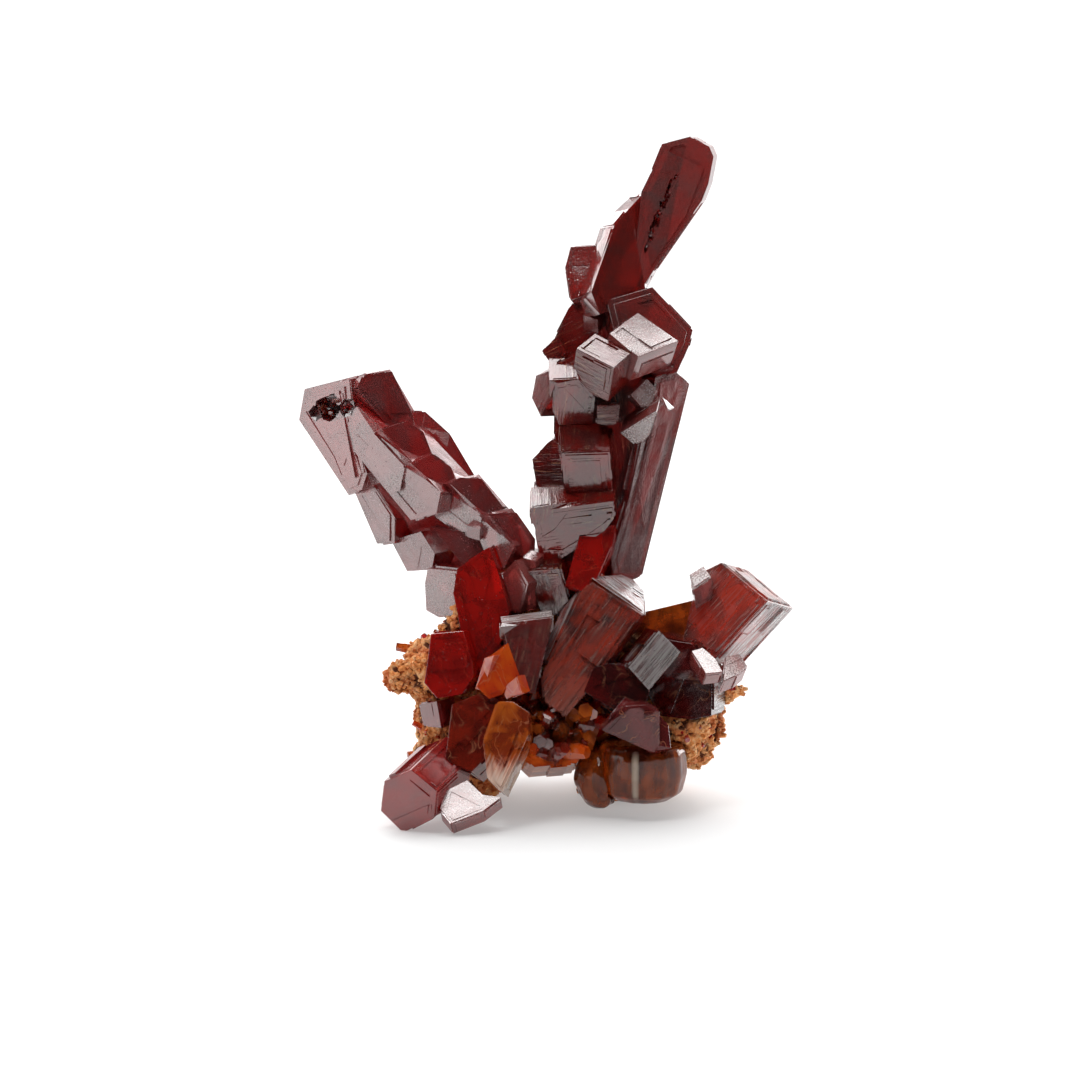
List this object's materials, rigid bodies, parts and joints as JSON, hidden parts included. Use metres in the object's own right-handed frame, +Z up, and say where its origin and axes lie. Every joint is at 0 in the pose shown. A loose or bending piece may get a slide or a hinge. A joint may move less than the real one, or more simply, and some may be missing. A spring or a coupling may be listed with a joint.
{
  "type": "vanadinite on matrix",
  "caption": "Cluster of thick hexagonal red vanadinite crystals, a tall tower and a leaning arm, grown on porous brown ironstone that is sawn flat underneath.",
  "frame": {"origin": "middle of the specimen's box, on the surface that the sawn base stands on", "axes": "+Z up along the tower, +X to the right of the front, +Y to the back"},
  "size_m": [0.039, 0.0262, 0.0523],
  "materials": {
    "ironstone": "rough porous ironstone",
    "lilac_red": "frosted crystal face, adamantine",
    "mauve_grey": "dark striated crystal, adamantine",
    "deep_red": "clear deep red crystal, adamantine",
    "blood_red": "clear blood-red crystal, adamantine",
    "black_red": "nearly opaque dark red crystal",
    "orange": "clear orange crystal",
    "honey": "amber to honey crystal",
    "pale_lit": "bright faced crystal"
  },
  "bodies": {
    "root": {"matrix": "ironstone", "front_block": "mauve_grey", "upper_block": "pale_lit", "tower_square_crystal": "mauve_grey", "tower_bright_crystal": "pale_lit", "tower_hex_crystal": "pale_lit", "hex_plate": "deep_red", "tall_slab": "deep_red", "red_ledge_crystal": "blood_red", "centre_prism": "deep_red", "wedge_crystal": "mauve_grey", "dark_block": "black_red", "dark_prism": "black_red", "right_prism": "deep_red", "white_cube": "pale_lit", "ledge_plate": "pale_lit", "dark_crystal": "black_red", "ledge_crystal": "pale_lit", "bridge_crystal": "honey", "barrel_crystal": "honey", "foot_lobe": "honey", "amber_floor_crystal": "honey", "orange_crystal": "orange", "red_blade": "blood_red", "lit_sliver": "pale_lit", "red_knob": "blood_red", "small_left_crystal": "lilac_red", "honey_blade": "honey", "corner_prism": "lilac_red", "flat_bright_crystal": "pale_lit", "brown_crystal": "honey", "arm_root_block": "lilac_red", "back_prism_left": "deep_red", "back_prism_middle": "blood_red", "back_prism_right": "deep_red", "back_plate_low": "black_red", "back_block_right": "orange", "back_block_left": "deep_red", "back_block_low": "blood_red", "tower_back_plate": "deep_red", "tower_back_block": "mauve_grey", "plume_side_crystal": "deep_red", "plume": "deep_red", "left_arm": "lilac_red", "tower_stack": "mauve_grey"}
  },
  "joints": []
}
